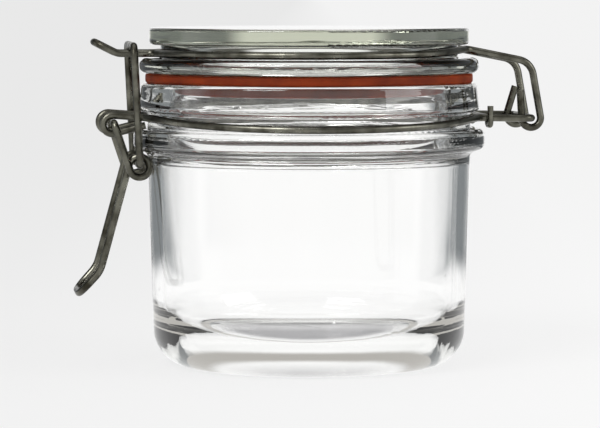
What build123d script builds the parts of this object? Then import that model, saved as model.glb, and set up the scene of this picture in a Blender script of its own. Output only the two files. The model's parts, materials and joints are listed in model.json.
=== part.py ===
"""Clip-top glass canister: a round jar, a glass lid on a rubber seal and a wire closure.

The closure is five bent wires: a neck wire that hugs the jar and carries the hinge bar and two
eyes, a tie across its hinge bars, a lid wire with its lift tongue, a lever and a bail.
Millimetres. +Z is up, the jar stands on z = 0 with its axis at x = y = 0, the hinge is at +X
and the lever at -X. Every wire is the same on both sides of the XZ plane, but for the lean of
the lid wire's two tails.
"""

import os
from math import asin, atan2, cos, degrees, hypot, radians, sin, tan

from build123d import *

# Jar: outside
band_radius = 51.9
band_height = 8.6
band_taper = 1.0
band_edge_round = 1.4
groove_depth = 2.7
groove_height = 5.2
groove_round = 0.8
bead_bottom_z = 64.6
bead_height = 7.4
bead_projection = 4.2
bead_edge_round = 2.0
bead_slope = 1.6
shoulder_step = 0.1
body_draft = 1.7
foot_corner_radius = 11.0
foot_ring_width = 3.0
push_up = 1.2

# Jar: inside
rim_width = 9.4
wall = 3.4
floor_thickness = 3.6
mouth_depth = 12.0
mouth_edge_round = 1.6
inner_corner_radius = 16.0

# Seal
seal_thickness = 2.9
seal_inset = 2.2
seal_lip_depth = 4.0
seal_lip_thickness = 1.7
seal_edge_round = 0.8
boss_clearance = 0.3

# Lid
flange_inset = 0.3
flange_height = 4.7
flange_edge_round = 2.1
disc_inset = 3.0
disc_height = 5.1
disc_edge_round = 1.0
lid_groove_depth = 3.4
lid_groove_height = 4.0
boss_gap = 3.4
boss_depth = 7.2
boss_wall = 3.6
lid_top_thickness = 5.0
lid_cavity_round = 5.0

# Wire
wire_radius = 1.1
wire_clearance = 0.3

# Neck wire
neck_wire_sag = 2.4
eye_half_gap = 10.2
eye_reach = 12.6
eye_rise = 0.9
eye_drop = 6.5
eye_bend = 2.7
eye_leave_angle = 25.0
eye_tail_rise = 3.2
hinge_reach = 15.6
hinge_half_gap = 15.4
hinge_drop = 0.6
hinge_corner = 2.6
hinge_leave_angle = 30.0
ring_corner = 3.0
ring_bends = 3
bend_share = 0.985

# Hinge tie
tie_radius = 0.9
tie_bead_gap = -0.6
tie_clearance = 0.15
tie_rise = 3.6
tie_bend_share = 0.48

# Lid wire
tongue_half_width = 5.0
tongue_leave_angle = 18.0
tongue_reach = 11.9
tongue_tip_length = 6.7
tongue_rise = 3.4
tongue_bend = 5.0
tongue_tip_corner = 3.4
arm_leave_angle = 28.0
arm_root_rise = 1.3
arm_side_clearance = 0.8
arm_knee_drop = 2.7
arm_knee_bend = 5.5
arm_lean = 10.2
curl_clearance = 0.7
curl_bends = 3
tail_leans = {"near": 3.5, "far": -17.0}
tail_length = 10.4

# Lever
lever_side_clearance = 0.2
pivot_reach_x = 9.4
pivot_clearance = 0.1
pivot_reach = 2.6
pivot_corner = 1.6
coil_inset = 0.9
coil_drop = 3.6
coil_radius = 3.0
coil_bends = 4
coil_step = 2.6
handle_reach = 11.7
handle_drop = 31.3
handle_bend = 9.0
handle_tip_reach = 6.2
handle_tip_drop = 6.8
handle_taper = 1.0
handle_tip_corner = 5.0

# Bail
bail_side_clearance = 0.4
bail_pin_play = 0.1
bail_pin_reach = 2.0
bail_pin_corner = 1.8
bail_bar_reach = 2.6
bail_bar_clearance = 0.2
bail_bar_corner = 3.0

# Radii that follow from the rim band, from the outside in
groove_radius = band_radius - groove_depth
bead_radius = groove_radius + bead_projection
body_top_radius = groove_radius - shoulder_step
body_foot_radius = body_top_radius - body_draft
mouth_radius = band_radius - rim_width
seal_outer_radius = band_radius - seal_inset
flange_radius = band_radius - flange_inset
disc_radius = flange_radius - disc_inset
lid_groove_radius = disc_radius - lid_groove_depth
boss_radius = mouth_radius - boss_gap

# Heights that follow from the sizes above
groove_bottom_z = bead_bottom_z + bead_height
band_bottom_z = groove_bottom_z + groove_height
rim_z = band_bottom_z + band_height
flange_bottom_z = rim_z + seal_thickness
flange_top_z = flange_bottom_z + flange_height
disc_bottom_z = flange_top_z + lid_groove_height
lid_top_z = disc_bottom_z + disc_height

# Places of the wires that follow from what carries them
neck_ring_radius = groove_radius + wire_clearance + wire_radius
neck_side_z = band_bottom_z - wire_clearance - wire_radius
eye_top_z = neck_side_z + eye_rise
eye_end_x = -neck_ring_radius - eye_reach
eye_tail_x = -neck_ring_radius
hinge_bar_x = neck_ring_radius + hinge_reach
tie_x = bead_radius + tie_bead_gap
hinge_z = neck_side_z - hinge_drop
lid_ring_radius = lid_groove_radius + wire_clearance + wire_radius
lid_wire_z = flange_top_z + wire_clearance + wire_radius
tongue_bend_x = -lid_ring_radius - tongue_reach
tongue_tip_x = tongue_bend_x - tongue_tip_length
arm_half_gap = hinge_half_gap - 2 * wire_radius - arm_side_clearance
lever_half_width = eye_half_gap + 2 * wire_radius + lever_side_clearance
lever_pivot_x = -neck_ring_radius - pivot_reach_x
coil_x = coil_inset - bead_radius
coil_z = bead_bottom_z - coil_drop
handle_half_width = lever_half_width - coil_step
handle_bend_x = coil_x - handle_reach
handle_bend_z = coil_z - handle_drop
handle_tip_x = handle_bend_x - handle_tip_reach
handle_tip_z = handle_bend_z - handle_tip_drop
handle_tip_half_width = handle_half_width - handle_taper
bail_half_width = lever_half_width + 2 * wire_radius + bail_side_clearance
bail_pin_z = coil_z + coil_radius - 2 * wire_radius - bail_pin_play
bail_bar_x = -flange_radius - bail_bar_reach
bail_bar_z = lid_wire_z + 2 * wire_radius + bail_bar_clearance


def heading_to_circle(point, centre, radius, turn):
    """Heading of a straight wire from point that meets a circle and goes on round it."""
    dx, dz = centre[0] - point[0], centre[1] - point[1]
    return degrees(atan2(dz, dx)) - turn * degrees(asin(radius / hypot(dx, dz)))


def heading_from_circle(point, centre, radius, turn):
    """Heading of a straight wire that leaves a circle and runs on to point."""
    dx, dz = point[0] - centre[0], point[1] - centre[1]
    return degrees(atan2(dz, dx)) + turn * degrees(asin(radius / hypot(dx, dz)))


def loop_corners(centre, radius, first_heading, last_heading, bends, turn):
    """Corners (x, z) of the straight runs that wrap a circle, from one heading to the other."""
    step = (last_heading - first_heading) / bends
    reach = radius / cos(radians(step / 2))
    corners = []
    for k in range(bends):
        place = radians(first_heading - turn * 90 + step * (k + 0.5))
        corners.append((centre[0] + reach * cos(place), centre[1] + reach * sin(place)))
    return corners


def ring_corners(radius, first_angle, last_angle, bends):
    """Corners (x, y) of the runs that wrap the near half of a ring, from -X round to +X."""
    step = (last_angle - first_angle) / bends
    reach = radius / cos(radians(step / 2))
    corners = []
    for k in range(bends):
        place = radians(first_angle + step * (k + 0.5))
        corners.append((-reach * cos(place), -reach * sin(place)))
    return corners


def tangent_x(radius, leave_angle, half_gap):
    """Distance from the axis, along X, of the point where a side run meets the ring's tangent."""
    return (radius - half_gap * sin(radians(leave_angle))) / cos(radians(leave_angle))


def mirrored(points):
    """The same points on the far side, in the opposite order."""
    return [(x, -y, z) for x, y, z in reversed(points)]


def sweep_wire(points, radii, radius):
    """Sweep a round wire along straight runs joined by tangent arcs."""
    with BuildLine() as path:
        FilletPolyline(*points, radius=radii)
    with BuildSketch(Plane(origin=path.line @ 0, z_dir=path.line % 0)) as section:
        Circle(radius)
    sweep(section.sketch, path=path.line)


# Glass jar: outside and inside profiles, turned about the axis
foot_radius = body_foot_radius - foot_corner_radius
push_up_radius = foot_radius - foot_ring_width
inner_foot_radius = body_foot_radius - wall
shoulder_z = rim_z - mouth_depth
floor_z = push_up + floor_thickness
dome_radius = (push_up_radius**2 + push_up**2) / (2 * push_up)
dome_sweep = degrees(asin(push_up_radius / dome_radius))
with BuildPart() as jar_body:
    with BuildSketch(Plane.XZ):
        with BuildLine():
            dome = CenterArc((0, push_up - dome_radius), dome_radius, 90, -dome_sweep)
            Line(dome @ 1, (foot_radius, 0))
            CenterArc((foot_radius, foot_corner_radius), foot_corner_radius, -90, 90)
            FilletPolyline(
                (body_foot_radius, foot_corner_radius),
                (body_top_radius, bead_bottom_z),
                (bead_radius, bead_bottom_z + bead_slope),
                (bead_radius, groove_bottom_z),
                (groove_radius, groove_bottom_z),
                (groove_radius, band_bottom_z),
                (band_radius, band_bottom_z),
                (band_radius - band_taper, rim_z),
                (mouth_radius, rim_z),
                (mouth_radius, shoulder_z),
                (body_top_radius - wall, shoulder_z - mouth_depth),
                (inner_foot_radius, floor_z),
                (0, floor_z),
                radius=[
                    bead_edge_round,
                    bead_edge_round,
                    bead_edge_round,
                    groove_round,
                    groove_round,
                    band_edge_round,
                    band_edge_round,
                    mouth_edge_round,
                    mouth_depth / 2,
                    mouth_depth / 2,
                    inner_corner_radius,
                ],
            )
            Line((0, floor_z), dome @ 0)
        make_face()
    revolve(axis=Axis.Z)
jar_body.part.label = "jar_body"

# Rubber seal: a flat ring on the rim, with a lip that hangs round the lid's boss
seal_inner_radius = boss_radius + boss_clearance
seal_lip_radius = seal_inner_radius + seal_lip_thickness
seal_lip_z = rim_z - seal_lip_depth
with BuildPart() as seal_ring:
    with BuildSketch(Plane.XZ):
        with BuildLine():
            FilletPolyline(
                (seal_inner_radius, seal_lip_z),
                (seal_lip_radius, seal_lip_z),
                (seal_lip_radius, rim_z),
                (seal_outer_radius, rim_z),
                (seal_outer_radius, flange_bottom_z),
                (seal_inner_radius, flange_bottom_z),
                radius=[seal_edge_round] * 4,
            )
            Line((seal_inner_radius, flange_bottom_z), (seal_inner_radius, seal_lip_z))
        make_face()
    revolve(axis=Axis.Z)
seal_ring.part.label = "seal_ring"

# Glass lid: pressed disc over a wire groove, a flange, and a hollow boss that centres the seal
boss_bottom_z = flange_bottom_z - boss_depth
cavity_top_z = lid_top_z - lid_top_thickness
cavity_radius = boss_radius - boss_wall
with BuildPart() as lid:
    with BuildSketch(Plane.XZ):
        with BuildLine():
            FilletPolyline(
                (0, lid_top_z),
                (disc_radius, lid_top_z),
                (disc_radius, disc_bottom_z),
                (lid_groove_radius, disc_bottom_z),
                (lid_groove_radius, flange_top_z),
                (flange_radius, flange_top_z),
                (flange_radius, flange_bottom_z),
                (boss_radius, flange_bottom_z),
                (boss_radius, boss_bottom_z),
                (cavity_radius, boss_bottom_z),
                (cavity_radius, cavity_top_z),
                (0, cavity_top_z),
                radius=[
                    disc_edge_round,
                    disc_edge_round,
                    wire_clearance,
                    wire_clearance,
                    flange_edge_round,
                    flange_edge_round,
                    wire_clearance,
                    boss_wall / 3,
                    boss_wall / 3,
                    lid_cavity_round,
                ],
            )
            Line((0, cavity_top_z), (0, lid_top_z))
        make_face()
    revolve(axis=Axis.Z)
lid.part.label = "lid"


def neck_sag_z(y):
    """Height of the neck wire: it is pulled up at its two ends and hangs lower between them."""
    share = (abs(y) - eye_half_gap) / (neck_ring_radius - eye_half_gap)
    return neck_side_z - neck_wire_sag * share


# Neck wire: eye, half a ring, hinge bar, half a ring, eye
eye_low_z = eye_top_z - eye_drop
eye_root_x = -tangent_x(neck_ring_radius, eye_leave_angle, eye_half_gap)
near_ring = ring_corners(
    neck_ring_radius, eye_leave_angle, 180 - hinge_leave_angle, ring_bends
)
hinge_root_x = tangent_x(neck_ring_radius, hinge_leave_angle, hinge_half_gap)
near_neck = [
    (eye_tail_x, -eye_half_gap, eye_low_z + eye_tail_rise),
    (eye_end_x, -eye_half_gap, eye_low_z),
    (eye_end_x, -eye_half_gap, eye_top_z),
    (eye_root_x, -eye_half_gap, neck_side_z),
    *[(x, y, neck_sag_z(y)) for x, y in near_ring],
    (hinge_root_x, -hinge_half_gap, neck_sag_z(hinge_half_gap)),
    (hinge_bar_x, -hinge_half_gap, hinge_z),
]
near_neck_bends = [
    eye_bend,
    eye_bend,
    ring_corner,
    *[neck_ring_radius * bend_share] * ring_bends,
    ring_corner,
    hinge_corner,
]
with BuildPart() as neck_wire:
    sweep_wire(
        near_neck + mirrored(near_neck),
        near_neck_bends + near_neck_bends[::-1],
        wire_radius,
    )
neck_wire.part.label = "neck_wire"

# Hinge tie: a cross wire between the hinge bars, hooked under each one and turned up outside it
bar_share = (tie_x - hinge_root_x) / (hinge_bar_x - hinge_root_x)
bar_root_z = neck_sag_z(hinge_half_gap)
bar_z_at_tie = bar_root_z + (hinge_z - bar_root_z) * bar_share
tie_offset = wire_radius + tie_clearance + tie_radius
tie_bend = tie_offset * tie_bend_share
near_tie = [
    (tie_x, -hinge_half_gap - tie_offset, bar_z_at_tie + tie_rise),
    (tie_x, -hinge_half_gap - tie_offset, bar_z_at_tie - tie_offset),
    (tie_x, -hinge_half_gap + tie_offset, bar_z_at_tie - tie_offset),
    (tie_x, -hinge_half_gap + tie_offset, bar_z_at_tie),
]
with BuildPart() as hinge_tie:
    sweep_wire(near_tie + mirrored(near_tie), [tie_bend] * 6, tie_radius)
hinge_tie.part.label = "hinge_tie"

# Lid wire: tail, curl round the hinge bar, arm, half a ring, tongue, and back on the far side
curl_radius = 2 * wire_radius + curl_clearance
hinge_centre = (hinge_bar_x, hinge_z)
clockwise = -1


def lid_arm(side):
    """Points from the tail's end, round the curl and up the arm to its root on the ring."""
    arm_heading = arm_lean - 90
    tail_heading = tail_leans[side] + 90 - 360
    corners = loop_corners(
        hinge_centre, curl_radius, arm_heading, tail_heading, curl_bends, clockwise
    )
    out_x, out_z = corners[-1]
    tail = radians(tail_heading)
    tail_end = (out_x + tail_length * cos(tail), out_z + tail_length * sin(tail))
    in_x, in_z = corners[0]
    knee_z = lid_wire_z - arm_knee_drop
    knee = (in_x - (knee_z - in_z) * tan(radians(arm_lean)), knee_z)
    root_x = tangent_x(lid_ring_radius, arm_leave_angle, arm_half_gap)
    root = (root_x, lid_wire_z + arm_root_rise)
    return [(x, -arm_half_gap, z) for x, z in [tail_end, *corners[::-1], knee, root]]


near_lid_ring = ring_corners(
    lid_ring_radius, tongue_leave_angle, 180 - arm_leave_angle, ring_bends
)
tongue_root_x = -tangent_x(lid_ring_radius, tongue_leave_angle, tongue_half_width)
near_lid_half = [
    *[(x, y, lid_wire_z) for x, y in reversed(near_lid_ring)],
    (tongue_root_x, -tongue_half_width, lid_wire_z),
    (tongue_bend_x, -tongue_half_width, lid_wire_z),
    (tongue_tip_x, -tongue_half_width, lid_wire_z + tongue_rise),
]
near_lid_bends = [
    *[curl_radius * bend_share] * curl_bends,
    arm_knee_bend,
    ring_corner,
    *[lid_ring_radius * bend_share] * ring_bends,
    ring_corner,
    tongue_bend,
    tongue_tip_corner,
]
with BuildPart() as lid_wire:
    sweep_wire(
        lid_arm("near") + near_lid_half + mirrored(lid_arm("far") + near_lid_half),
        near_lid_bends + near_lid_bends[::-1],
        wire_radius,
    )
lid_wire.part.label = "lid_wire"

# Lever: pivot end, arm, one coil that the bail hangs in, handle, and back on the far side
pivot_share = (lever_pivot_x - eye_root_x) / (eye_end_x - eye_root_x)
lever_pivot_z = neck_side_z + eye_rise * pivot_share - 2 * wire_radius - pivot_clearance
pivot = (lever_pivot_x, lever_pivot_z)
coil_centre = (coil_x, coil_z)
handle_corner = (handle_bend_x, handle_bend_z)
anticlockwise = 1
arm_heading = heading_to_circle(pivot, coil_centre, coil_radius, anticlockwise)
handle_heading = heading_from_circle(handle_corner, coil_centre, coil_radius, anticlockwise) + 360
coil = loop_corners(
    coil_centre, coil_radius, arm_heading, handle_heading, coil_bends, anticlockwise
)
coil_points = []
for k, (x, z) in enumerate(coil):
    coil_points.append((x, -lever_half_width + coil_step * k / (coil_bends - 1), z))
near_lever = [
    (lever_pivot_x, -eye_half_gap + pivot_reach, lever_pivot_z),
    (lever_pivot_x, -lever_half_width, lever_pivot_z),
    *coil_points,
    (handle_bend_x, -handle_half_width, handle_bend_z),
    (handle_tip_x, -handle_tip_half_width, handle_tip_z),
]
near_lever_bends = [
    pivot_corner,
    *[coil_radius * bend_share] * coil_bends,
    handle_bend,
    handle_tip_corner,
]
with BuildPart() as lever:
    sweep_wire(
        near_lever + mirrored(near_lever),
        near_lever_bends + near_lever_bends[::-1],
        wire_radius,
    )
lever.part.label = "lever"

# Bail: pin through the lever's coil, leg, bar over the lid wire's tongue, leg, pin
near_bail = [
    (coil_x, -handle_half_width + bail_pin_reach, bail_pin_z),
    (coil_x, -bail_half_width, bail_pin_z),
    (bail_bar_x, -bail_half_width, bail_bar_z),
]
near_bail_bends = [bail_pin_corner, bail_bar_corner]
with BuildPart() as bail:
    sweep_wire(
        near_bail + mirrored(near_bail),
        near_bail_bends + near_bail_bends[::-1],
        wire_radius,
    )
bail.part.label = "bail"

os.makedirs("parts", exist_ok=True)
for piece in (jar_body, seal_ring, lid, neck_wire, hinge_tie, lid_wire, lever, bail):
    export_step(piece.part, f"parts/{piece.part.label}.step")
    print(piece.part.label, round(piece.part.volume, 1), piece.part.is_valid)

print("lid hinge axis", (round(hinge_bar_x, 3), round(hinge_z, 3)))
print("lever pivot axis", (round(lever_pivot_x, 3), round(lever_pivot_z, 3)))
print("bail pin axis", (round(coil_x, 3), round(bail_pin_z, 3)))
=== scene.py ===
# %% [markdown]
# # A clip-top glass canister
# The canister is a pressed glass jar, a glass lid on an orange rubber seal, and a closure made of
# bent steel wire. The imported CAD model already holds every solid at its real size, so this script
# loads it as a fixed frame and spends its effort on what CAD leaves out: glass that bends light,
# drawn wire, moulded rubber, a plain studio and the photographer's camera.

# %% Load the frame
import json
from math import atan, cos, degrees, radians, sin

import bpy
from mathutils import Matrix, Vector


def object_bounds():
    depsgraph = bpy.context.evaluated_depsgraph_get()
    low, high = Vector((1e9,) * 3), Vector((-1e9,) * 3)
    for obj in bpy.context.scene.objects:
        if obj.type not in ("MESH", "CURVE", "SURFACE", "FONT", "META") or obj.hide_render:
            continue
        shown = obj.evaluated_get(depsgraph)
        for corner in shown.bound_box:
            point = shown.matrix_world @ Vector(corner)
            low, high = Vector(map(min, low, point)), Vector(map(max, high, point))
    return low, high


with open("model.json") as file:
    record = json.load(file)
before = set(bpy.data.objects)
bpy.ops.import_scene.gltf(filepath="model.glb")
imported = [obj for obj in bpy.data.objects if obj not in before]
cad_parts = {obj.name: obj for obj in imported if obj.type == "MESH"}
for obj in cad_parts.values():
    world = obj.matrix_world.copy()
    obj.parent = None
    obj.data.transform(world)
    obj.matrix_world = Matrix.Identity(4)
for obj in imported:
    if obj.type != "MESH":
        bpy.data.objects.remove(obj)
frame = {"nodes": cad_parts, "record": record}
nodes = frame["nodes"]
cad_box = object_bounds()
scene = bpy.context.scene
scene.view_settings.view_transform = "Standard"
mm = 0.001
print("CAD nodes:", ", ".join(sorted(nodes)))
print("CAD box in mm:", [[round(c / mm, 1) for c in corner] for corner in cad_box])

# %% [markdown]
# ## Two small helpers
# Colours are picked as sRGB hex values, the way a paint chart gives them, and Blender's sockets
# want linear light, so one function turns one into the other. The other helper adds a node with
# its settings, its fixed socket values and its incoming links, so a material reads from top to
# bottom like a recipe.

# %% Helpers


def srgb(hex_code):
    """Linear colour from an sRGB hex value such as #A0B0C0."""
    shares = [int(hex_code[k:k + 2], 16) / 255 for k in (1, 3, 5)]
    linear = [s / 12.92 if s <= 0.04045 else ((s + 0.055) / 1.055) ** 2.4 for s in shares]
    return (*linear, 1.0)


def add_node(owner, kind, sockets=None, links=None, **settings):
    """Add a node: settings are its properties, sockets its constants, links its inputs."""
    node = owner.node_tree.nodes.new(kind)
    for name, value in settings.items():
        setattr(node, name, value)
    for name, value in (sockets or {}).items():
        node.inputs[name].default_value = value
    for name, output in (links or {}).items():
        owner.node_tree.links.new(output, node.inputs[name])
    return node


def new_material(name):
    """An empty node material and its output node."""
    material = bpy.data.materials.new(name)
    material.use_nodes = True
    material.node_tree.nodes.clear()
    return material, add_node(material, "ShaderNodeOutputMaterial")


print("mid grey #808080 is", round(srgb("#808080")[0], 3), "in linear light")

# %% [markdown]
# ## Soda-lime glass, pressed in an iron mould
# Pressed glass is clear, with an olive-grey cast that only shows where light runs a long way
# through it, as in the lid's rim and the jar's foot. The cast is therefore an absorption inside
# the solid and not a surface colour. The mould leaves the skin faintly wavy, in upright swells
# some 14 mm apart; the plunger drags the lid and the rim into long flat ripples; where the mould's
# halves met, a seam stands a hair proud; and a few seeds, small bubbles just under the skin, dimple
# it. These marks are bumps, because they are far below a millimetre deep and only bend the light.
# The lid comes from a greener melt than the jar, so it has a stronger cast.

# %% Glass
glass, glass_output = new_material("pressed_soda_lime_glass")
swell_spacing = 14 * mm
swell_depth = 0.12 * mm
seam_heading = radians(26)
seam_half_width = 1.2 * mm
seam_height = 0.015 * mm
ripple_spacing = 2.6 * mm
ripple_depth = 0.05 * mm
ripple_from_z = 74 * mm
ripple_full_z = 80 * mm
seed_spacing = 19 * mm
seed_radius = 0.7 * mm
seed_depth = 0.12 * mm
jar_cast = 4.0
lid_cast = 14.0
place = add_node(glass, "ShaderNodeTexCoord")
tall = add_node(
    glass, "ShaderNodeMapping", {"Scale": (1, 1, 0.3)}, {"Vector": place.outputs["Object"]}
)
swells = add_node(
    glass,
    "ShaderNodeTexNoise",
    {"Scale": 1 / swell_spacing, "Detail": 1.0},
    {"Vector": tall.outputs["Vector"]},
)
swell_bump = add_node(
    glass, "ShaderNodeBump", {"Strength": 1.0, "Distance": swell_depth}, {"Height": swells.outputs["Fac"]}
)
flat = add_node(
    glass, "ShaderNodeMapping", {"Scale": (0.08, 0.08, 1)}, {"Vector": place.outputs["Object"]}
)
ripples = add_node(
    glass,
    "ShaderNodeTexNoise",
    {"Scale": 1 / ripple_spacing, "Detail": 2.0},
    {"Vector": flat.outputs["Vector"]},
)
height = add_node(glass, "ShaderNodeSeparateXYZ", links={"Vector": place.outputs["Object"]})
near_rim = add_node(
    glass,
    "ShaderNodeMapRange",
    {"From Min": ripple_from_z, "From Max": ripple_full_z, "To Min": 0.0, "To Max": 1.0},
    {"Value": height.outputs["Z"]},
    interpolation_type="SMOOTHSTEP",
)
rim_ripples = add_node(
    glass,
    "ShaderNodeMath",
    links={0: ripples.outputs["Fac"], 1: near_rim.outputs["Result"]},
    operation="MULTIPLY",
)
ripple_bump = add_node(
    glass,
    "ShaderNodeBump",
    {"Strength": 1.0, "Distance": ripple_depth},
    {"Height": rim_ripples.outputs["Value"], "Normal": swell_bump.outputs["Normal"]},
)
seam_frame = add_node(
    glass,
    "ShaderNodeMapping",
    {"Rotation": (0, 0, -seam_heading)},
    {"Vector": place.outputs["Object"]},
)
seam_axes = add_node(glass, "ShaderNodeSeparateXYZ", links={"Vector": seam_frame.outputs["Vector"]})
seam_gap = add_node(glass, "ShaderNodeMath", links={0: seam_axes.outputs["X"]}, operation="ABSOLUTE")
seam_ridge = add_node(
    glass,
    "ShaderNodeMapRange",
    {"From Min": 0.0, "From Max": seam_half_width, "To Min": 1.0, "To Max": 0.0},
    {"Value": seam_gap.outputs["Value"]},
    interpolation_type="SMOOTHSTEP",
)
seam_bump = add_node(
    glass,
    "ShaderNodeBump",
    {"Strength": 1.0, "Distance": seam_height},
    {"Height": seam_ridge.outputs["Result"], "Normal": ripple_bump.outputs["Normal"]},
)
seeds = add_node(
    glass, "ShaderNodeTexVoronoi", {"Scale": 1 / seed_spacing}, {"Vector": place.outputs["Object"]}
)
seed_dimple = add_node(
    glass,
    "ShaderNodeMapRange",
    {"From Min": 0.0, "From Max": seed_radius / seed_spacing, "To Min": -1.0, "To Max": 0.0},
    {"Value": seeds.outputs["Distance"]},
    interpolation_type="SMOOTHSTEP",
)
skin = add_node(
    glass,
    "ShaderNodeBump",
    {"Strength": 1.0, "Distance": seed_depth},
    {"Height": seed_dimple.outputs["Result"], "Normal": seam_bump.outputs["Normal"]},
)
glass_skin = add_node(
    glass,
    "ShaderNodeBsdfPrincipled",
    {
        "Base Color": srgb("#FFFFFF"),
        "Roughness": 0.0,
        "IOR": 1.51,
        "Transmission Weight": 1.0,
    },
    {"Normal": skin.outputs["Normal"]},
)
glass_depth = add_node(
    glass, "ShaderNodeVolumeAbsorption", {"Color": srgb("#C6CBB0"), "Density": jar_cast}
)
glass.node_tree.links.new(glass_skin.outputs["BSDF"], glass_output.inputs["Surface"])
glass.node_tree.links.new(glass_depth.outputs["Volume"], glass_output.inputs["Volume"])
lid_glass = glass.copy()
lid_glass.name = "pressed_soda_lime_glass_lid"
lid_glass.node_tree.nodes[glass_depth.name].inputs["Density"].default_value = lid_cast
print("glass swells", swell_spacing / mm, "mm apart,", swell_depth / mm, "mm deep")

# %% [markdown]
# ## Moulded rubber
# The seal is natural rubber, moulded flat and cut to a ring. It is matt, and its orange-brown
# varies softly from batch to batch. A fine grain, 0.8 mm here so that it shows at this distance,
# keeps it from looking like painted plastic.

# %% Rubber
rubber, rubber_output = new_material("moulded_natural_rubber")
rubber_patch = 9 * mm
rubber_grain = 0.8 * mm
place = add_node(rubber, "ShaderNodeTexCoord")
patches = add_node(
    rubber,
    "ShaderNodeTexNoise",
    {"Scale": 1 / rubber_patch, "Detail": 4.0},
    {"Vector": place.outputs["Object"]},
)
rubber_tone = add_node(rubber, "ShaderNodeValToRGB", links={"Fac": patches.outputs["Fac"]})
rubber_tone.color_ramp.elements[0].position = 0.3
rubber_tone.color_ramp.elements[0].color = srgb("#641F05")
rubber_tone.color_ramp.elements[1].position = 0.7
rubber_tone.color_ramp.elements[1].color = srgb("#84310C")
grain = add_node(
    rubber,
    "ShaderNodeTexNoise",
    {"Scale": 1 / rubber_grain, "Detail": 2.0},
    {"Vector": place.outputs["Object"]},
)
grain_bump = add_node(
    rubber, "ShaderNodeBump", {"Strength": 0.5, "Distance": 0.05 * mm}, {"Height": grain.outputs["Fac"]}
)
rubber_skin = add_node(
    rubber,
    "ShaderNodeBsdfPrincipled",
    {
        "Roughness": 0.6,
        "IOR": 1.52,
        "Specular IOR Level": 0.15,
        "Subsurface Weight": 0.7,
        "Subsurface Radius": (1.0, 0.35, 0.12),
        "Subsurface Scale": 3 * mm,
    },
    {"Base Color": rubber_tone.outputs["Color"], "Normal": grain_bump.outputs["Normal"]},
)
rubber.node_tree.links.new(rubber_skin.outputs["BSDF"], rubber_output.inputs["Surface"])
print("rubber grain", rubber_grain / mm, "mm")

# %% [markdown]
# ## Drawn galvanised wire
# The closure is cold-drawn steel wire with a thin zinc coat. Drawing leaves fine marks, the zinc
# dulls to a dark olive grey in patches, and handling polishes it again in places. The metal keeps
# the default IOR; patches steer both its colour and how sharply it mirrors the studio.

# %% Wire
wire, wire_output = new_material("drawn_galvanised_steel")
zinc_patch = 6 * mm
draw_mark = 0.9 * mm
place = add_node(wire, "ShaderNodeTexCoord")
dulling = add_node(
    wire, "ShaderNodeTexNoise", {"Scale": 1 / zinc_patch, "Detail": 5.0}, {"Vector": place.outputs["Object"]}
)
zinc_tone = add_node(wire, "ShaderNodeValToRGB", links={"Fac": dulling.outputs["Fac"]})
zinc_tone.color_ramp.elements[0].position = 0.32
zinc_tone.color_ramp.elements[0].color = srgb("#35332B")
zinc_tone.color_ramp.elements[1].position = 0.68
zinc_tone.color_ramp.elements[1].color = srgb("#7C7B71")
polish = add_node(
    wire,
    "ShaderNodeMapRange",
    {"From Min": 0.3, "From Max": 0.7, "To Min": 0.42, "To Max": 0.24},
    {"Value": dulling.outputs["Fac"]},
)
marks = add_node(
    wire, "ShaderNodeTexNoise", {"Scale": 1 / draw_mark, "Detail": 2.0}, {"Vector": place.outputs["Object"]}
)
mark_bump = add_node(
    wire, "ShaderNodeBump", {"Strength": 0.4, "Distance": 0.03 * mm}, {"Height": marks.outputs["Fac"]}
)
wire_skin = add_node(
    wire,
    "ShaderNodeBsdfPrincipled",
    {"Metallic": 1.0},
    {
        "Base Color": zinc_tone.outputs["Color"],
        "Roughness": polish.outputs["Result"],
        "Normal": mark_bump.outputs["Normal"],
    },
)
wire.node_tree.links.new(wire_skin.outputs["BSDF"], wire_output.inputs["Surface"])
print("zinc patches", zinc_patch / mm, "mm, draw marks", draw_mark / mm, "mm")

# %% [markdown]
# ## Dress the CAD solids
# Each CAD node keeps its mesh and place. It only swaps the plain material of the pack for the one
# above that belongs to its record slot; the lid takes the greener glass of the same slot.

# %% Put the materials on
finish_of_slot = {"clear_glass": glass, "seal_rubber": rubber, "steel_wire": wire}
finish_of_node = {"lid": lid_glass}
for subpart in frame["record"]["subparts"]:
    piece = nodes[subpart["node"]]
    finish = finish_of_node.get(subpart["node"], finish_of_slot[subpart["material_slot"]])
    piece.data.materials.clear()
    piece.data.materials.append(finish)
    print(piece.name, "->", piece.data.materials[0].name, len(piece.data.polygons), "faces")

# %% [markdown]
# ## The studio
# Glass is lit by what stands behind it. The photograph is a bright-field picture: a white table
# and a white panel behind the jar, in an otherwise dark room. Light that crosses the jar's middle
# comes from the panel and reads as white; near the jar's sides the wall bends the view by 15 to 37
# degrees, past the panel's soft edge, and draws the blue-grey streaks. Narrow strip lamps stand to
# the left and right and put long bright lines on the wires.

# %% Panels
panel_heading = radians(7)
panel_half_angle = radians(14)
strip_half_angle = radians(9)
soft_edge = radians(8)
panel_white = srgb("#FFFFFF")
room_grey = srgb("#84888A")
wall_dark = srgb("#45443C")
front_grey = srgb("#EDEDEA")
table_radius = 0.30


def fall(owner, value, full, none):
    """A node that goes smoothly from 1 at full to 0 at none."""
    return add_node(
        owner,
        "ShaderNodeMapRange",
        {"From Min": full, "From Max": none, "To Min": 1.0, "To Max": 0.0},
        {"Value": value},
        interpolation_type="SMOOTHSTEP",
    ).outputs["Result"]


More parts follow.
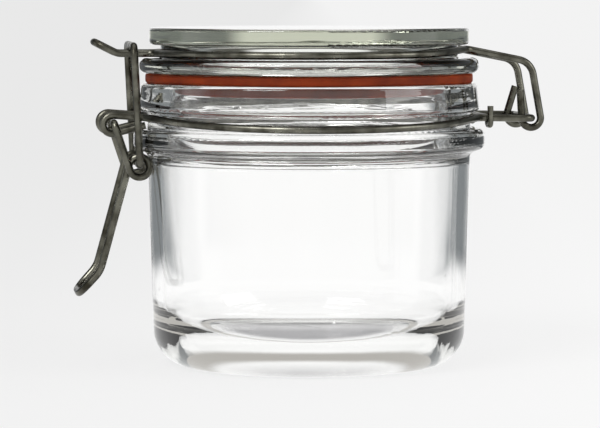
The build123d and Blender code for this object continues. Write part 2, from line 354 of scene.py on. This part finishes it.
def panel_share(owner, axes):
    """How much of a white panel stands in a direction from the jar: 1 on a panel, 0 beside it."""
    heading = add_node(
        owner, "ShaderNodeMath", links={0: axes.outputs["X"], 1: axes.outputs["Y"]}, operation="ARCTAN2"
    )
    turned = add_node(
        owner, "ShaderNodeMath", {1: panel_heading}, {0: heading.outputs["Value"]}, operation="SUBTRACT"
    )
    off_back = add_node(owner, "ShaderNodeMath", links={0: turned.outputs["Value"]}, operation="ABSOLUTE")
    past_side = add_node(
        owner, "ShaderNodeMath", {1: radians(90)}, {0: off_back.outputs["Value"]}, operation="SUBTRACT"
    )
    off_side = add_node(owner, "ShaderNodeMath", links={0: past_side.outputs["Value"]}, operation="ABSOLUTE")
    back = fall(owner, off_back.outputs["Value"], panel_half_angle, panel_half_angle + soft_edge)
    strip = fall(owner, off_side.outputs["Value"], strip_half_angle, strip_half_angle + soft_edge)
    return add_node(owner, "ShaderNodeMath", links={0: back, 1: strip}, operation="MAXIMUM").outputs["Value"]


print("back panel", round(degrees(2 * panel_half_angle)), "degrees wide")

# %% [markdown]
# The floor is one large sheet. The camera sees it as a pale grey glow with a painted shade, a little
# darker on the latch side, and a share of plain matt paint in it takes the jar's soft shadow. Light
# that crosses or mirrors off the glass and wire sees a white table with a painted shadow, greyer under
# the jar, and a painted contact shadow, a dimmer line where its foot ring stands; beyond the table's
# edge the room: blue-grey behind the jar, paler on the photographer's side.

# %% Floor
floor_half_width = 40.0
fade_half_width = 0.12
glow_share = 0.86
table_fade = 1.3
back_floor_from = 0.05
front_floor_from = -0.3
# Painted shadow: inside these radii the table seen through the glass turns grey under the jar.
shade_radius = 23 * mm
shade_end_radius = 33 * mm
# Painted contact shadow: a dimmer line on the table around the foot ring's radius.
foot_ring_radius = 35 * mm
painted_ring_shadow_half_width = 1 * mm
painted_ring_shadow_end = 3 * mm
floor_mesh = bpy.data.meshes.new("floor")
corner_signs = ((-1, -1), (1, -1), (1, 1), (-1, 1))
corners = [(sx * floor_half_width, sy * floor_half_width, 0.0) for sx, sy in corner_signs]
floor_mesh.from_pydata(corners, [], [(0, 1, 2, 3)])
floor = bpy.data.objects.new("floor", floor_mesh)
scene.collection.objects.link(floor)

paper, paper_output = new_material("matt_white_paper")
place = add_node(paper, "ShaderNodeTexCoord")
axes = add_node(paper, "ShaderNodeSeparateXYZ", links={"Vector": place.outputs["Object"]})
on_panel = panel_share(paper, axes)
# Painted shade: the floor's glow seen by the camera runs a little darker on the latch side.
latch_to_hinge = add_node(
    paper, "ShaderNodeMapping", {"Rotation": (0, 0, panel_heading)}, {"Vector": place.outputs["Object"]}
)
side = add_node(paper, "ShaderNodeSeparateXYZ", links={"Vector": latch_to_hinge.outputs["Vector"]})
across = add_node(
    paper,
    "ShaderNodeMapRange",
    {"From Min": -fade_half_width, "From Max": fade_half_width, "To Min": 0.0, "To Max": 1.0},
    {"Value": side.outputs["X"]},
)
pale = add_node(paper, "ShaderNodeValToRGB", links={"Fac": across.outputs["Result"]})
pale.color_ramp.elements[0].color = srgb("#F2F2F2")
pale.color_ramp.elements[1].color = srgb("#FDFDFD")
reach = add_node(paper, "ShaderNodeVectorMath", links={0: place.outputs["Object"]}, operation="LENGTH")
on_table = fall(paper, reach.outputs["Value"], table_radius, table_radius * table_fade)
bright = add_node(paper, "ShaderNodeMath", links={0: on_table, 1: on_panel}, operation="MAXIMUM")
floor_behind = add_node(paper, "ShaderNodeEmission", {"Color": room_grey, "Strength": 1.0})
floor_in_front = add_node(paper, "ShaderNodeEmission", {"Color": front_grey, "Strength": 1.0})
behind_jar = fall(paper, axes.outputs["Y"], back_floor_from, front_floor_from)
bare_floor = add_node(
    paper,
    "ShaderNodeMixShader",
    links={0: behind_jar, 1: floor_in_front.outputs["Emission"], 2: floor_behind.outputs["Emission"]},
)
# Painted shadow under the jar, for light that crosses or mirrors off the glass.
painted_shadow_under_foot = fall(paper, reach.outputs["Value"], shade_radius, shade_end_radius)
# Mask of the painted contact shadow, a thin ring where the foot stands.
off_ring = add_node(
    paper, "ShaderNodeMath", {1: foot_ring_radius}, {0: reach.outputs["Value"]}, operation="SUBTRACT"
)
ring_gap = add_node(paper, "ShaderNodeMath", links={0: off_ring.outputs["Value"]}, operation="ABSOLUTE")
on_painted_ring_shadow = fall(paper, ring_gap.outputs["Value"], painted_ring_shadow_half_width, painted_ring_shadow_end)
open_table = add_node(paper, "ShaderNodeEmission", {"Color": panel_white, "Strength": 1.0})
# The grey of the painted shadow under the jar.
shaded_table = add_node(paper, "ShaderNodeEmission", {"Color": srgb("#A6A5A8"), "Strength": 1.0})
half_lit_table = add_node(
    paper,
    "ShaderNodeMixShader",
    links={0: painted_shadow_under_foot, 1: open_table.outputs["Emission"], 2: shaded_table.outputs["Emission"]},
)
# Painted contact shadow where the foot ring stands, a dimmer grey line.
painted_ring_shadow = add_node(paper, "ShaderNodeEmission", {"Color": srgb("#B4B1AC"), "Strength": 1.0})
white_table = add_node(
    paper,
    "ShaderNodeMixShader",
    links={0: on_painted_ring_shadow, 1: half_lit_table.outputs["Shader"], 2: painted_ring_shadow.outputs["Emission"]},
)
through_glass = add_node(
    paper,
    "ShaderNodeMixShader",
    links={0: bright.outputs["Value"], 1: bare_floor.outputs["Shader"], 2: white_table.outputs["Shader"]},
)
matt = add_node(paper, "ShaderNodeBsdfDiffuse", {"Color": srgb("#E6E6E6")})
# The camera's floor glow, carrying the painted shade across it.
glow_with_painted_shade = add_node(paper, "ShaderNodeEmission", {"Strength": 1.0}, {"Color": pale.outputs["Color"]})
seen_floor = add_node(
    paper,
    "ShaderNodeMixShader",
    {0: glow_share},
    {1: matt.outputs["BSDF"], 2: glow_with_painted_shade.outputs["Emission"]},
)
rays = add_node(paper, "ShaderNodeLightPath")
bent = add_node(
    paper,
    "ShaderNodeMath",
    links={0: rays.outputs["Is Glossy Ray"], 1: rays.outputs["Is Transmission Ray"]},
    operation="MAXIMUM",
)
matt_or_seen = add_node(
    paper,
    "ShaderNodeMixShader",
    links={0: rays.outputs["Is Camera Ray"], 1: matt.outputs["BSDF"], 2: seen_floor.outputs["Shader"]},
)
paper_mix = add_node(
    paper,
    "ShaderNodeMixShader",
    links={0: bent.outputs["Value"], 1: matt_or_seen.outputs["Shader"], 2: through_glass.outputs["Shader"]},
)
paper.node_tree.links.new(paper_mix.outputs["Shader"], paper_output.inputs["Surface"])
floor_mesh.materials.append(paper)
print("floor", 2 * floor_half_width, "m square, white table", 2 * table_radius, "m across")

# %% [markdown]
# The world is the room above the table: panels and blue-grey walls low behind the jar, a paler wall
# at the photographer's back, dark walls above them, and a wide soft light overhead. The dark walls
# give the wires their dark backs and draw the dark lines in the thick glass of the lid and rim; the
# light overhead comes down through the lid and keeps the foot of the jar bright. The camera itself
# only sees pale grey.

# %% World
panel_top = radians(16)
wall_top = radians(34)
overhead_from = radians(50)
overhead_full = radians(65)
back_wall_from = 0.1
front_wall_from = -0.6
world = bpy.data.worlds.new("studio_room")
scene.world = world
world.use_nodes = True
world.node_tree.nodes.clear()
world_output = add_node(world, "ShaderNodeOutputWorld")
way = add_node(world, "ShaderNodeTexCoord")
axes = add_node(world, "ShaderNodeSeparateXYZ", links={"Vector": way.outputs["Generated"]})
low = fall(world, axes.outputs["Z"], sin(panel_top), sin(wall_top))
overhead = fall(world, axes.outputs["Z"], sin(overhead_full), sin(overhead_from))
low_panel = add_node(
    world, "ShaderNodeMath", links={0: low, 1: panel_share(world, axes)}, operation="MULTIPLY"
)
lit = add_node(
    world, "ShaderNodeMath", links={0: low_panel.outputs["Value"], 1: overhead}, operation="MAXIMUM"
)
high_wall = add_node(world, "ShaderNodeBackground", {"Color": wall_dark, "Strength": 1.0})
low_wall = add_node(world, "ShaderNodeBackground", {"Color": room_grey, "Strength": 1.0})
front_wall = add_node(world, "ShaderNodeBackground", {"Color": front_grey, "Strength": 1.0})
behind_jar = fall(world, axes.outputs["Y"], back_wall_from, front_wall_from)
low_walls = add_node(
    world,
    "ShaderNodeMixShader",
    links={0: behind_jar, 1: front_wall.outputs["Background"], 2: low_wall.outputs["Background"]},
)
walls = add_node(
    world,
    "ShaderNodeMixShader",
    links={0: low, 1: high_wall.outputs["Background"], 2: low_walls.outputs["Shader"]},
)
white_panel = add_node(world, "ShaderNodeBackground", {"Color": panel_white, "Strength": 1.0})
room = add_node(
    world,
    "ShaderNodeMixShader",
    links={0: lit.outputs["Value"], 1: walls.outputs["Shader"], 2: white_panel.outputs["Background"]},
)
pale_room = add_node(world, "ShaderNodeBackground", {"Color": srgb("#F2F2F2"), "Strength": 1.0})
rays = add_node(world, "ShaderNodeLightPath")
room_mix = add_node(
    world,
    "ShaderNodeMixShader",
    links={0: rays.outputs["Is Camera Ray"], 1: room.outputs["Shader"], 2: pale_room.outputs["Background"]},
)
world.node_tree.links.new(room_mix.outputs["Shader"], world_output.inputs["Surface"])
print("room lit")

# %% [markdown]
# Two soft boxes light the jar at a plain level: a large one high on the left, which runs the long
# highlights down the wires, and a weaker one on the right.

# %% Soft boxes


def soft_box(name, place, aim, width, watts):
    """A square area lamp at place that looks at aim."""
    lamp = bpy.data.lights.new(name, "AREA")
    lamp.shape = "SQUARE"
    lamp.size = width
    lamp.energy = watts
    box = bpy.data.objects.new(name, lamp)
    scene.collection.objects.link(box)
    box.location = place
    box.rotation_euler = (box.location - aim).to_track_quat("Z", "Y").to_euler()
    return box


middle = (cad_box[0] + cad_box[1]) / 2
soft_box("key_box", (-0.55, -0.65, 0.75), middle, 0.5, 7.0)
soft_box("fill_box", (0.75, -0.45, 0.45), middle, 0.5, 3.0)
print("soft boxes aim at", [round(c / mm, 1) for c in middle])

# %% [markdown]
# ## The camera
# The photograph has hardly any perspective: the two rims of the lid are nearly level ovals. That
# is a long lens from about a metre away, just above the lid and tilted down by four degrees. The
# latch side is turned a few degrees towards the lens, because the near hinge arm shows to the
# right of the far one.

# %% Camera
photo_width_px = 600
focal_px = 3300
axis_px = 309
stand_off = 1003 * mm
eye_height = 114.8 * mm
tilt_down = radians(3.94)
turn = radians(7.0)
lens = bpy.data.cameras.new("long_lens")
lens.sensor_width = 36
lens.lens = focal_px / photo_width_px * lens.sensor_width
camera = bpy.data.objects.new("long_lens", lens)
scene.collection.objects.link(camera)
camera.location = (-stand_off * sin(turn), -stand_off * cos(turn), eye_height)
off_axis = atan((axis_px - photo_width_px / 2) / focal_px)
camera.rotation_euler = (radians(90) - tilt_down, 0, off_axis - turn)
scene.camera = camera
print("lens", round(lens.lens, 1), "mm")
